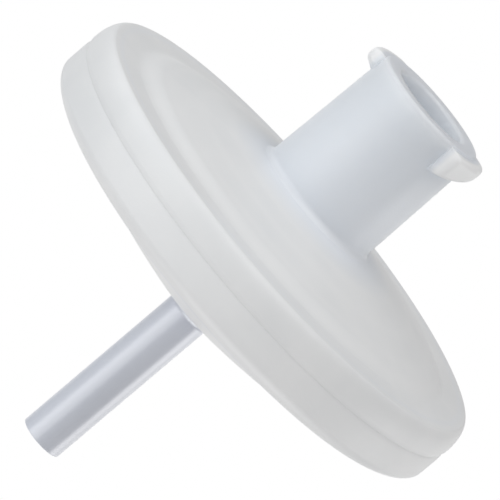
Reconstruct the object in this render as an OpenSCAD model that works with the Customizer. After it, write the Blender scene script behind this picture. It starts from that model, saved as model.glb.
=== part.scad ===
// Syringe filter: a flat round housing with a female Luer lock inlet on one face and
// a slim tube outlet on the other. Two moulded halves are welded round the rim and
// clamp a filter membrane between them.
//
// Sizes are in millimetres. The filter stands on its inlet: the origin is the centre
// of the inlet's mouth, and +Z is the direction of flow, up to the outlet's tip.

/* [Luer inlet] */
// Bore of the tapered socket at its mouth
socket_d = 4.3; // [4.2:0.01:4.4]
// Diameter that the socket loses for each millimetre of depth
socket_taper = 0.06; // [0.04:0.005:0.08]
// Depth of the tapered socket
socket_depth = 7.5; // [6.5:0.1:8]
// Bore of the port from the socket into the inlet chamber
port_d = 1.8; // [1:0.1:2.8]
// Outer diameter of the inlet tube at its mouth
inlet_d = 6.5; // [6.3:0.05:7]
// Outer diameter that the inlet tube gains by its root
inlet_draft = 0.25; // [0:0.05:0.5]
// Length of the inlet tube, from its mouth to the housing
inlet_length = 7.35; // [6.8:0.05:12]
// Radius of the fillet at the inlet tube's root
inlet_fillet = 0.4; // [0.1:0.05:0.8]
// Radius of the rounded edges of the mouth
mouth_round = 0.2; // [0.02:0.01:0.3]

/* [Luer lugs] */
// Diameter over the two lugs
lug_span = 7.83; // [7.4:0.01:8]
// Arc that each lug covers, in degrees
lug_arc = 58; // [50:1:90]
// Distance from the mouth back to the lugs
lug_setback = 0.1; // [0:0.01:0.3]
// Distance from the mouth to a lug's flank, at its outer edge and halfway along it
lug_depth = 1.09; // [0.9:0.01:1.4]
// Lead of the lugs' right-hand helix for each full turn
lug_lead = 5; // [3:0.1:5.5]
// Slope of a lug's helical flank, in degrees from square to the axis
lug_flank = 25; // [0:1:28]
// Radius of a lug's rounded outer edges
lug_round = 0.28; // [0.02:0.01:0.3]
// Arc that each rounded end of a lug covers, in degrees
lug_end_arc = 8; // [1:0.5:20]

/* [Housing] */
// Outer diameter of the housing
body_d = 26; // [25.5:0.1:34]
// Height of the rim, from the inlet face's flat band to the outlet shoulder
rim_height = 3.9; // [3.4:0.1:6]
// Height of the inlet half's share of the rim
parting_height = 1.55; // [1.4:0.05:1.9]
// Height of the bevels that leave a soft groove between the halves
parting_bevel = 0.25; // [0.05:0.01:0.3]
// Depth of that groove
parting_groove = 0.06; // [0.01:0.01:0.1]
// Width of the inlet half's rounded shoulder
shoulder_w = 0.5; // [0.2:0.05:1]
// Height of the inlet half's rounded shoulder
shoulder_h = 1.25; // [0.4:0.05:1.25]
// Width of the flat band inside the shoulder
band_w = 1.5; // [0.6:0.05:2.5]
// Width of the soft step from the band up to the inlet face
step_w = 1.4; // [0.4:0.05:2]
// Height of the soft step
step_h = 0.45; // [0:0.01:0.6]
// Rise of the inlet face, from the band to the inlet tube
face_rise = 1.55; // [0.8:0.05:2.4]
// How far the inlet face swells beyond a true cone
face_swell = 0.05; // [0:0.01:0.2]
// Width of the outlet half's rounded shoulder
outlet_shoulder_w = 2.15; // [0.5:0.05:3]
// Height of the outlet half's rounded shoulder
outlet_shoulder_h = 1; // [0.4:0.05:1.3]
// Rise of the outlet face, from its shoulder to the outlet tube
outlet_rise = 2.55; // [1.8:0.05:4]
// How far the outlet face swells beyond a true cone
outlet_swell = 0.15; // [0:0.01:0.3]
// Wall of the inlet half over its chamber
wall = 1.1; // [0.8:0.05:1.2]

/* [Membrane and its seat] */
// Thickness of the filter membrane
membrane_t = 0.15; // [0.1:0.01:0.3]
// Radial clearance of the membrane in its pocket
membrane_gap = 0.1; // [0.05:0.01:0.15]
// Radial clearance of the clamping ring in the membrane's pocket
clamp_gap = 0.2; // [0.05:0.01:0.3]
// Wall between the membrane's pocket and the weld groove
pocket_wall = 0.45; // [0.3:0.05:2]
// Width of the ring that clamps the membrane's edge
seal_w = 0.9; // [0.5:0.05:1.5]
// Depth of the membrane's seat behind the parting plane
seat_depth = 0.35; // [0.31:0.01:0.6]

/* [Welded joint] */
// Wall outside the weld groove
weld_wall = 0.6; // [0.4:0.05:0.7]
// Thickness of the tongue that melts into the weld groove
tongue_t = 0.45; // [0.3:0.05:0.5]
// Height of the tongue
tongue_h = 0.8; // [0.4:0.05:1]
// Clearance round the tongue
weld_gap = 0.05; // [0.02:0.01:0.08]

/* [Inlet spreader ribs] */
// Radius of the first ring rib in the inlet half
spreader_r = 5.65; // [4.8:0.05:7]
// Distance between ring ribs in the inlet half
spreader_pitch = 1.8; // [1.2:0.1:3]
// Height of the ring ribs in the inlet half
spreader_h = 0.35; // [0.1:0.05:0.45]
// Width of the ring ribs in the inlet half
spreader_w = 0.4; // [0.2:0.05:0.8]
// Number of radial slots through the inlet ribs
spreader_slots = 6; // [3:1:12]

/* [Outlet support ribs] */
// Depth of the outlet chamber at its edge
chamber_depth = 0.6; // [0.3:0.05:0.7]
// Further depth of the outlet chamber at its centre
chamber_fall = 1.6; // [0.6:0.1:2]
// Radius of the first support ring
support_r = 1.7; // [1.5:0.1:2.5]
// Distance between support rings
support_pitch = 1.1; // [0.8:0.05:2]
// Width of a support ring where the membrane lies on it
support_w = 0.35; // [0.2:0.05:0.6]
// Extra width of a support ring at its root
support_draft = 0.15; // [0:0.05:0.2]
// Number of radial channels through the support rings
support_slots = 8; // [3:1:16]
// Width of the radial channels and slots
slot_w = 0.7; // [0.4:0.05:1]

/* [Outlet tube] */
// Outer diameter of the outlet tube
outlet_d = 2.4; // [2:0.05:3]
// Bore of the outlet tube
outlet_bore = 1.2; // [0.6:0.05:1.5]
// Length of the outlet tube, from the housing to its tip
outlet_length = 9.8; // [5:0.1:20]
// Radius of the fillet at the outlet tube's root
outlet_fillet = 0.3; // [0.1:0.05:0.6]
// Bevel round the outlet tube's tip
tip_bevel = 0.03; // [0:0.01:0.2]

/* [Hidden] */

$fn = 96;
curve_steps = 10; // straight pieces in each rounded or swelling stretch of an outline
lug_steps = 12; // straight pieces along the middle of each lug
lug_edge_steps = 4; // straight pieces round each outer edge of a lug
lug_end_turns = [10 : 20 : 90]; // turns round the ellipse of a lug's end, one for each section
weld_in = 0.3; // depth that a lug or rib runs into the wall that carries it
over = 0.1; // length that a cutter runs past what it cuts

socket_r = socket_d / 2;
socket_end_r = socket_r - socket_taper * socket_depth / 2;
port_r = port_d / 2;
inlet_r = inlet_d / 2;
inlet_root_r = inlet_r + inlet_draft / 2;
lug_r = lug_span / 2;
body_r = body_d / 2;
outlet_r = outlet_d / 2;
outlet_bore_r = outlet_bore / 2;

// Heights, from the inlet's mouth up
band_z = inlet_length + face_rise;
parting_z = band_z + parting_height;
seat_z = parting_z + seat_depth;
clamp_z = seat_z - membrane_t;
shoulder_z = band_z + rim_height;
outlet_root_z = shoulder_z + outlet_rise;
tip_z = outlet_root_z + outlet_length;

// The groove's bevels stop where the inlet half's shoulder ends
bevel_h = min(parting_bevel, parting_height - shoulder_h);

// Radii of the inlet face
face_start_r = inlet_root_r + inlet_fillet;
band_out_r = body_r - shoulder_w;
band_in_r = band_out_r - band_w;
step_in_r = band_in_r - step_w;
step_in_z = band_z - step_h;
step_slope = (step_in_z - inlet_length) / (step_in_r - face_start_r);

// Radii of the welded joint and, inside it, of the membrane's seat
groove_out_r = body_r - weld_wall;
tongue_out_r = groove_out_r - weld_gap;
tongue_in_r = tongue_out_r - tongue_t;
groove_in_r = tongue_in_r - weld_gap;
pocket_r = groove_in_r - pocket_wall;
clamp_r = pocket_r - clamp_gap;
membrane_r = pocket_r - membrane_gap;
seal_r = membrane_r - seal_w;

// Height of the inlet chamber's roof and of the outlet chamber's floor at a radius
function between(a, b, share) = a + (b - a) * share;
roof_edge_z = band_z + wall;
roof_mid_z = inlet_length + wall;
function roof_z(r) = between(roof_mid_z, roof_edge_z, (r - inlet_root_r) / (seal_r - inlet_root_r));
floor_edge_z = seat_z + chamber_depth;
floor_mid_z = floor_edge_z + chamber_fall;
function floor_z(r) = between(floor_mid_z, floor_edge_z, (r - outlet_bore_r) / (seal_r - outlet_bore_r));

// Part of an ellipse or circle, between two angles
function rounded(centre, size_r, size_z, from, to, steps = curve_steps) = [
    for (i = [0 : steps])
        let (a = from + (to - from) * i / steps)
        centre + [size_r * cos(a), size_z * sin(a)]
];

// Stretch between two points that swells by a height halfway, without its ends
function swelling(p, q, swell) = [
    for (i = [1 : curve_steps - 1])
        let (s = i / curve_steps)
        p + (q - p) * s + [0, 4 * swell * s * (1 - s)]
];

// Soft step between two points: it starts at a slope and ends level
function stepped(p, q, slope) = [
    for (i = [0 : curve_steps])
        let (
            s = i / curve_steps,
            share = s * s * (3 - 2 * s),
            lead_in = slope * (q[0] - p[0]) * s * (1 - s) * (1 - s)
        )
        [between(p[0], q[0], s), between(p[1], q[1], share) + lead_in]
];

inlet_mouth = concat(
    rounded([socket_r + mouth_round, mouth_round], mouth_round, mouth_round, 180, 270),
    rounded([inlet_r - mouth_round, mouth_round], mouth_round, mouth_round, -90, 0)
);

inlet_face = concat(
    rounded([face_start_r, inlet_length - inlet_fillet], inlet_fillet, inlet_fillet, 180, 90),
    swelling([face_start_r, inlet_length], [step_in_r, step_in_z], -face_swell),
    stepped([step_in_r, step_in_z], [band_in_r, band_z], step_slope),
    rounded([band_out_r, band_z + shoulder_h], shoulder_w, shoulder_h, -90, 0)
);

outlet_face = concat(
    rounded([body_r - outlet_shoulder_w, shoulder_z - outlet_shoulder_h],
        outlet_shoulder_w, outlet_shoulder_h, 0, 90),
    swelling([body_r - outlet_shoulder_w, shoulder_z],
        [outlet_r + outlet_fillet, outlet_root_z], outlet_swell),
    rounded([outlet_r + outlet_fillet, outlet_root_z + outlet_fillet],
        outlet_fillet, outlet_fillet, -90, -180)
);

// Section of a lug at an angle from its middle: its top is level, and its flank follows
// the helix. The rounded edges touch the outer side, the top and the sloping flank.
function lug_section(a) =
    let (
        depth = lug_depth + lug_lead * a / 360,
        edge_r = min(lug_round, (depth - lug_setback) / 2),
        edge_z = depth - edge_r * tan((90 - lug_flank) / 2),
        root_depth = depth + (lug_r - inlet_r) * tan(lug_flank)
    )
    concat(
        [[inlet_r - weld_in, lug_setback]],
        rounded([lug_r - edge_r, lug_setback + edge_r], edge_r, edge_r, -90, 0, lug_edge_steps),
        rounded([lug_r - edge_r, edge_z], edge_r, edge_r, 0, 90 - lug_flank, lug_edge_steps),
        [[inlet_r, root_depth], [inlet_r - weld_in, root_depth]]
    );

// Angle of each section from the lug's middle, with its share of the lug's full height.
// The height follows a quarter of an ellipse at each end.
lug_start = [
    for (t = lug_end_turns) [lug_end_arc * (1 - cos(t)) - lug_arc / 2, sin(t)]
];
lug_middle = [
    for (i = [1 : lug_steps - 1]) [(lug_arc / 2 - lug_end_arc) * (2 * i / lug_steps - 1), 1]
];
lug_finish = [
    for (i = [len(lug_start) - 1 : -1 : 0]) [-lug_start[i][0], lug_start[i][1]]
];
lug_sections = concat(lug_start, lug_middle, lug_finish);

// Lug along its arc, with its middle on +X
module lug() {
    points = [
        for (section = lug_sections, q = lug_section(section[0]))
            let (r = q[0] - max(0, q[0] - inlet_r) * (1 - section[1]))
            [r * cos(section[0]), r * sin(section[0]), q[1]]
    ];
    n = len(lug_section(0));
    gaps = len(lug_sections) - 1;
    sides = [
        for (i = [0 : gaps - 1], j = [0 : n - 1])
            let (a = i * n + j, b = i * n + (j + 1) % n)
            for (t = [[a, b, a + n], [b, b + n, a + n]]) t
    ];
    first = [for (j = [n - 1 : -1 : 0]) j];
    last = [for (j = [0 : n - 1]) gaps * n + j];
    polyhedron(points, concat(sides, [first, last]));
}

// Ring rib of a tapering section, from the surface it rests against to its edge
module ring_rib(r, edge_z, root_z, edge_w, root_w) {
    rotate_extrude()
        polygon([
            [r - edge_w / 2, edge_z],
            [r + edge_w / 2, edge_z],
            [r + root_w / 2, root_z],
            [r - root_w / 2, root_z]
        ]);
}

// Radial cutters that break the ring ribs into arcs
module radial_slots(count, from_z, to_z) {
    for (i = [0 : count - 1])
        rotate(360 / count * (i + 0.5))
            translate([0, -slot_w / 2, from_z])
                cube([seal_r, slot_w, to_z - from_z]);
}

module inlet_housing() {
    color([0.87, 0.89, 0.91]) {
        rotate_extrude()
            polygon(concat(
                [[socket_end_r, socket_depth]],
                inlet_mouth,
                inlet_face,
                [
                    [body_r, parting_z - bevel_h],
                    [body_r - parting_groove, parting_z],
                    [tongue_out_r, parting_z],
                    [tongue_out_r, parting_z + tongue_h],
                    [tongue_in_r, parting_z + tongue_h],
                    [tongue_in_r, parting_z],
                    [clamp_r, parting_z],
                    [clamp_r, clamp_z],
                    [seal_r, clamp_z],
                    [seal_r, roof_edge_z],
                    [inlet_root_r, roof_mid_z],
                    [port_r, roof_mid_z],
                    [port_r, socket_depth]
                ]
            ));
        for (side = [0, 180])
            rotate(side) lug();
        difference() {
            for (r = [spreader_r : spreader_pitch : seal_r - spreader_w])
                ring_rib(r, roof_z(r) + spreader_h, roof_z(r) - weld_in, spreader_w, spreader_w);
            radial_slots(spreader_slots, roof_mid_z - weld_in - over, clamp_z);
        }
    }
}

module outlet_housing() {
    color([0.87, 0.89, 0.91]) {
        rotate_extrude()
            polygon(concat(
                [
                    [groove_out_r, parting_z],
                    [body_r - parting_groove, parting_z],
                    [body_r, parting_z + bevel_h]
                ],
                outlet_face,
                [
                    [outlet_r, tip_z - tip_bevel],
                    [outlet_r - tip_bevel, tip_z],
                    [outlet_bore_r, tip_z],
                    [outlet_bore_r, floor_mid_z],
                    [seal_r, floor_edge_z],
                    [seal_r, seat_z],
                    [pocket_r, seat_z],
                    [pocket_r, parting_z],
                    [groove_in_r, parting_z],
                    [groove_in_r, parting_z + tongue_h + weld_gap],
                    [groove_out_r, parting_z + tongue_h + weld_gap]
                ]
            ));
        difference() {
            for (r = [support_r : support_pitch : seal_r - support_pitch / 2])
                ring_rib(r, seat_z, floor_z(r) + weld_in, support_w, support_w + support_draft);
            radial_slots(support_slots, seat_z - over, floor_mid_z + weld_in);
        }
    }
}

module membrane() {
    color("white")
        translate([0, 0, clamp_z])
            cylinder(h = membrane_t, r = membrane_r);
}

inlet_housing();
outlet_housing();
membrane();
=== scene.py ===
import math

import bmesh
import bpy
from bpy.props import (
    FloatProperty,
    FloatVectorProperty,
    IntProperty,
    PointerProperty,
)
from mathutils import Matrix, Vector


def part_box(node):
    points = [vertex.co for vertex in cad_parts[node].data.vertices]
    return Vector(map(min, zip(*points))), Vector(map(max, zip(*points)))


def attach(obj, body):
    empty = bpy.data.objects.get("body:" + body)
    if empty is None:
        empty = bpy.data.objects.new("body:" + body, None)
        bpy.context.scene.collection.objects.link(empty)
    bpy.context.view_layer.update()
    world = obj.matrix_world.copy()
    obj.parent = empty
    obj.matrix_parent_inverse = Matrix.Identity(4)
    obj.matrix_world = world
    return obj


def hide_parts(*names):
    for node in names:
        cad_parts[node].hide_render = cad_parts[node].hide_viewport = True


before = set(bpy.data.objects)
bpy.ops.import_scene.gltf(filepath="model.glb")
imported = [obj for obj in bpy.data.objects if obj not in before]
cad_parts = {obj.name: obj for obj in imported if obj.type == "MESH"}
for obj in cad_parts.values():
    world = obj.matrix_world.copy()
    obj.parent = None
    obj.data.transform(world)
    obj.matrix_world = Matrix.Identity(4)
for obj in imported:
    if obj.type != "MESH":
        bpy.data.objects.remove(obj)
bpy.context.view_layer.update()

bl_info = {
    "name": "Syringe Filter",
    "version": (1, 0, 0),
    "blender": (4, 5, 0),
    "location": "3D View > Sidebar > Syringe Filter",
    "description": "Builds a welded syringe filter of frosted polypropylene with its membrane, and a studio",
    "category": "Object",
}

HOUSING_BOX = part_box("outlet_housing")
MEMBRANE_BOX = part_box("membrane")

MM = 0.001

# Shapes
TURN_R = 20 * MM  # radius of the circle that outlines are turned along
CURVE_STEPS = 28  # straight pieces in each rounded or swelling stretch of an outline
LUG_EDGE_STEPS = 10  # straight pieces round each outer edge of a lug
WELD_IN = 0.3 * MM  # depth that a rib or lug runs into the wall that carries it
LUG_END = 0.03  # square of the share of its height that a lug still has at its very ends
BAR_HEIGHT = 100 * MM  # height of the bars that cut slots, well over that of any rib
CREASE = math.radians(28)  # edges that turn by less than this are shaded smooth
ROUNDING = 1e-6  # so that a ring that only just fits is counted

# Finish
RIB_BLUR, WELD_SHADE_BLUR, CLAMP_AND_STEP_BLUR = 0.35 * MM, 0.18 * MM, 0.5 * MM  # softness of the rib rings seen through the wall, of the painted shade over the weld groove, and of the band over the clamping ring that is partly painted light on the step
ONE_RING = 1.0  # pitch of a ring that has no neighbour
INLET_TONES = (1.0, 1.8)  # where the inlet tube's tone starts and ends its change, in root radii
OUTLET_TONES = (1.1, 3.0)  # the same for the outlet tube
LUG_TONE, LUG_FADE = 1.6, 1.25  # depth of the lugs' tone in lug depths, and how far it fades
BORE_TONE, BORE_FADE = 0.96, 1.08  # radius of the bore's tone in bore radii, and how far it fades
PLASTIC_IOR, INLET_COAT_IOR = 1.49, 1.5
COAT_ROUGHNESS = 0.3
PORE_GRAIN, PORE_WAVES = 0.5, 12  # size of the membrane's grain and of its waves, in pores
MEMBRANE_ROUGHNESS, MEMBRANE_WANDER = 0.82, 0.12

# Stage
WHITE, COOL = (1.0, 1.0, 1.0), (0.92, 1.0, 1.06)  # tints of the lights
FLOOR_REACH = 30.0  # half the floor's width, in metres
FLOOR_DROP = 0.02 * MM  # of the floor below the filter's mouth
SENSOR_WIDTH = 36  # in mm, as the lens is
CLIP = (0.01, 100)  # nearest and furthest that the camera sees


# ----------------------------------------------------------------- properties


def length(name, text, mm):
    return FloatProperty(
        name=name, description=text, default=mm * MM, min=0.0, precision=5,
        subtype="DISTANCE", unit="LENGTH",
    )


def angle(name, text, degrees):
    return FloatProperty(
        name=name, description=text, default=math.radians(degrees), subtype="ANGLE", unit="ROTATION",
    )


def share(name, text, value):
    return FloatProperty(name=name, description=text, default=value, min=0.0, max=1.0, subtype="FACTOR")


def plain(name, text, value):
    return FloatProperty(name=name, description=text, default=value, min=0.0)


def colour(name, text, value):
    return FloatVectorProperty(
        name=name, description=text, default=(*value, 1.0), size=4, min=0.0, max=1.0, subtype="COLOR",
    )


def whole(name, text, value, least=1):
    return IntProperty(name=name, description=text, default=value, min=least)


def extent(box, axis):
    """Size of a box along an axis, in mm."""
    return round(box[1][axis] - box[0][axis], 6) / MM


class InletSizes(bpy.types.PropertyGroup):
    socket_d: length("Socket bore", "Bore of the tapered socket at its mouth", 4.3)
    socket_taper: plain("Socket taper", "Diameter lost for each unit of depth", 0.06)
    socket_depth: length("Socket depth", "Depth of the tapered socket", 7.5)
    port_d: length("Port bore", "Bore of the port into the inlet chamber", 1.8)
    tube_d: length("Tube diameter", "Outer diameter of the inlet tube at its mouth", 6.5)
    tube_draft: length("Tube draft", "Diameter that the inlet tube gains by its root", 0.25)
    tube_length: length("Tube length", "From the mouth to the housing", 7.35)
    fillet: length("Root fillet", "Radius of the fillet at the tube's root", 0.4)
    mouth_round: length("Mouth edge radius", "Radius of the rounded edges of the mouth", 0.2)
    lug_span: length("Lug span", "Diameter over the two lugs", 7.83)
    lug_arc: angle("Lug arc", "Arc that each lug covers", 58)
    lug_setback: length("Lug set-back", "Distance from the mouth back to the lugs", 0.1)
    lug_depth: length("Lug depth", "From the mouth to a lug's flank, halfway along its outer edge", 1.09)
    lug_lead: length("Lug lead", "Lead of the right-hand helix for each full turn", 5)
    lug_flank: angle("Lug flank", "Slope of the helical flank", 25)
    lug_round: length("Lug edge radius", "Radius of a lug's rounded outer edges", 0.28)
    lug_end_arc: angle("Lug end arc", "Arc that each rounded end of a lug covers", 8)
    lug_steps: whole("Lug steps", "Pieces along each lug", 72, 4)


class HousingSizes(bpy.types.PropertyGroup):
    body_d: length("Diameter", "Outer diameter of the housing", extent(HOUSING_BOX, 0))
    rim_height: length("Rim height", "From the inlet face's flat band to the outlet shoulder", 3.9)
    parting_height: length("Inlet share of the rim", "Height of the inlet half's share of the rim", 1.55)
    parting_bevel: length("Parting bevel", "Bevels that leave a soft groove between the halves", 0.25)
    parting_groove: length("Parting groove", "Depth of that groove", 0.06)
    shoulder_w: length("Inlet shoulder width", "Width of the inlet half's rounded shoulder", 0.5)
    shoulder_h: length("Inlet shoulder height", "Height of the inlet half's rounded shoulder", 1.25)
    band_w: length("Band width", "Width of the flat band inside the shoulder", 1.5)
    step_w: length("Step width", "Width of the soft step from the band up to the inlet face", 1.4)
    step_h: length("Step height", "Height of the soft step", 0.45)
    face_rise: length("Face rise", "Rise of the inlet face from the band to the tube", 1.55)
    face_swell: length("Face swell", "How far the inlet face swells beyond a true cone", 0.05)
    outlet_shoulder_w: length("Outlet shoulder width", "Width of the outlet half's shoulder", 2.15)
    outlet_shoulder_h: length("Outlet shoulder height", "Height of the outlet half's shoulder", 1)
    outlet_rise: length("Outlet rise", "Rise of the outlet face to its tube", 2.55)
    outlet_swell: length("Outlet swell", "How far the outlet face swells beyond a true cone", 0.15)
    wall: length("Wall", "Wall of the inlet half over its chamber", 1.1)
    segments: whole("Segments", "Pieces round each turned moulding", 288, 24)


class SeatSizes(bpy.types.PropertyGroup):
    membrane_t: length("Membrane thickness", "Thickness of the filter membrane",
                       extent(MEMBRANE_BOX, 2))
    membrane_gap: length("Membrane clearance", "Radial clearance of the membrane in its pocket", 0.1)
    clamp_gap: length("Clamping ring clearance", "Radial clearance of the clamping ring", 0.2)
    pocket_wall: length("Pocket wall", "Wall between the membrane's pocket and the weld groove", 0.45)
    seal_w: length("Seal width", "Width of the ring that clamps the membrane's edge", 0.9)
    seat_depth: length("Seat depth", "Depth of the seat behind the parting plane", 0.35)
    weld_wall: length("Weld wall", "Wall outside the weld groove", 0.6)
    tongue_t: length("Tongue thickness", "Thickness of the tongue in the weld groove", 0.45)
    tongue_h: length("Tongue height", "Height of the tongue", 0.8)
    weld_gap: length("Weld clearance", "Clearance round the tongue", 0.05)


class RibSizes(bpy.types.PropertyGroup):
    spreader_r: length("First inlet ring", "Radius of the first ring rib in the inlet half", 5.65)
    spreader_pitch: length("Inlet ring pitch", "Distance between ring ribs in the inlet half", 1.8)
    spreader_h: length("Inlet ring height", "Height of the ring ribs in the inlet half", 0.35)
    spreader_w: length("Inlet ring width", "Width of the ring ribs in the inlet half", 0.4)
    spreader_slots: whole("Inlet slots", "Radial slots through the inlet ribs", 6)
    chamber_depth: length("Chamber depth", "Depth of the outlet chamber at its edge", 0.6)
    chamber_fall: length("Chamber fall", "Further depth of the outlet chamber at its centre", 1.6)
    support_r: length("First support ring", "Radius of the first support ring", 1.7)
    support_pitch: length("Support pitch", "Distance between support rings", 1.1)
    support_w: length("Support width", "Width of a support ring where the membrane lies on it", 0.35)
    support_draft: length("Support draft", "Extra width of a support ring at its root", 0.15)
    support_slots: whole("Channels", "Radial channels through the rings", 8)
    slot_w: length("Slot width", "Width of the radial channels and slots", 0.7)


class OutletSizes(bpy.types.PropertyGroup):
    tube_d: length("Tube diameter", "Outer diameter of the outlet tube", 2.4)
    bore: length("Bore", "Bore of the outlet tube", 1.2)
    tube_length: length("Tube length", "From the housing to the tip", 9.8)
    fillet: length("Root fillet", "Radius of the fillet at the tube's root", 0.3)
    tip_bevel: length("Tip bevel", "Bevel round the tip", 0.03)


class PlasticFinish(bpy.types.PropertyGroup):
    inlet_tube: colour("Inlet tube tone", "The inlet tube, where the wall is thin", (0.795, 0.82, 0.86))
    # Painted shade: the inlet tube is painted darker towards its open end
    mouth: colour("Painted mouth shade", "The inlet tube at its open end, where it is clearer", (0.74, 0.765, 0.80))
    mouth_shade_depth: length("Mouth depth", "How far along the inlet tube the mouth's tone reaches", 6.0)
    # Painted shade: the tube's end face is painted darker still
    rim: colour("Painted rim shade", "The end face of the inlet tube, clearest of all", (0.69, 0.71, 0.75))
    rim_shade_depth: length("Rim depth", "How far along the inlet tube the rim's tone reaches", 0.35)
    outlet_tube: colour("Outlet tube tone", "The slim outlet tube", (0.69, 0.715, 0.79))
    # The lugs are lighter: partly their thick milky plastic, partly painted light
    lugs: colour("Lug tone", "The lugs, where the plastic is thick", (0.83, 0.83, 0.83))
    clear: colour("Clear tone", "The disc where it is clearer", (0.81, 0.815, 0.82))
    milky: colour("Milky tone", "The disc where it is cloudy", (0.86, 0.86, 0.86))
    cloud_size: length("Cloud size", "Size of the soft milky clouds", 3.5)
    cloud_amount: share("Cloudiness", "Strength of the milky clouds", 0.8)
    rib_tone: share("Ribs showing through", "How much the inner ribs lighten the wall over them", 0.4)
    # Lighter band over the soft step, where the clamping ring lies beneath: partly the thick plastic, partly
    # painted light along the step
    thick: colour("Thick tone", "The disc where it is thickest", (0.9, 0.9, 0.9))
    clamp_and_step_light: share("Clamp and painted step light", "How much the clamping ring lightens the wall over it", 0.5)
    bore_glow: share("Bore glow", "How much the light through the wall lightens the bore", 1)
    # Painted shade: a soft dark ring over the weld groove, standing in for the groove's shadow seen through
    # the wall
    weld_painted_shade: share("Painted shade over the weld", "How much the weld groove darkens the wall over it", 0.3)
    scatter: length("Scatter depth", "How far light spreads inside the plastic", 0.2)
    scatter_share: share("Scatter share", "Share of the light that goes inside", 0.1)
    tube_scatter: length("Inlet tube scatter depth", "How far light spreads inside the inlet tube", 1.5)
    inlet_gloss: share("Inlet tube gloss", "Strength of the clear gloss on the inlet tube", 0.2)
    outlet_gloss: share("Outlet tube gloss", "Strength of the clear gloss on the outlet tube", 1)
    outlet_sheen: plain("Outlet tube sheen", "Refractive index of the outlet tube's glossy skin", 2.2)
    roughness: share("Roughness", "Roughness of the moulded surface", 0.42)
    roughness_spread: share("Roughness spread", "How much the roughness wanders", 0.1)
    grain_size: length("Grain size", "Size of the spark-eroded grain", 0.16)
    grain_depth: length("Grain depth", "Depth of the spark-eroded grain", 0.004)
    wave_size: length("Sink size", "Size of the soft sinks left by cooling", 4.5)
    wave_depth: length("Sink depth", "Depth of the soft sinks left by cooling", 0.02)


class MembraneFinish(bpy.types.PropertyGroup):
    face: colour("Face", "The membrane's plain face", (0.93, 0.93, 0.91))
    pore: colour("Pores", "The membrane between its fibres", (0.84, 0.84, 0.82))
    pore_size: length("Pore pattern", "Size of the microporous pattern", 0.12)
    pore_depth: length("Pore depth", "Depth of the microporous pattern", 0.006)


class StageSettings(bpy.types.PropertyGroup):
    floor_tone: colour("Floor", "The plain pale floor", (0.86, 0.86, 0.86))
    backdrop: plain("Backdrop", "Brightness of the white backdrop", 1.0)
    surround: plain("Surround", "Light that comes from all round", 0.35)
    camera_turn: angle("Camera turn", "Turn of the camera round the filter", -21)
    camera_drop: angle("Camera drop", "How far below the horizon the camera stands", 11.98)
    camera_roll: angle("Camera roll", "Roll of the picture", 40.27)
    camera_distance: length("Camera distance", "From the filter to the camera", 254.08)
    aim_z: length("Aim height", "Height of the point that the camera is set out from", 11)
    aim_right: length("Aim right", "How far that point lies right of the picture's centre", 0.4675)
    aim_down: length("Aim down", "How far that point lies below the picture's centre", 0.1475)
    lens: FloatProperty(name="Lens", description="Focal length of the camera", default=382.05,
                        subtype="DISTANCE_CAMERA", unit="CAMERA")


# ------------------------------------------------------------------- outlines


def rounded(centre, size, start, end, steps=CURVE_STEPS):
    """Part of a circle, or of an ellipse where the size is a pair, between two angles in degrees."""
    size_r, size_z = size if isinstance(size, tuple) else (size, size)
    turns = [math.radians(start + (end - start) * i / steps) for i in range(steps + 1)]
    return [(centre[0] + size_r * math.cos(a), centre[1] + size_z * math.sin(a)) for a in turns]


def swelling(p, q, swell):
    """Stretch between two points that swells by a height halfway, without its ends."""
    steps = [i / CURVE_STEPS for i in range(1, CURVE_STEPS)]
    return [
        (p[0] + (q[0] - p[0]) * s, p[1] + (q[1] - p[1]) * s + 4 * swell * s * (1 - s)) for s in steps
    ]


def stepped(p, q, slope):
    """Soft step between two points: it starts at a slope and ends level."""
    steps = [i / CURVE_STEPS for i in range(CURVE_STEPS + 1)]
    run, rise = q[0] - p[0], q[1] - p[1]
    return [
        (p[0] + run * s, p[1] + rise * s * s * (3 - 2 * s) + slope * run * s * (1 - s) ** 2) for s in steps
    ]


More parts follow.
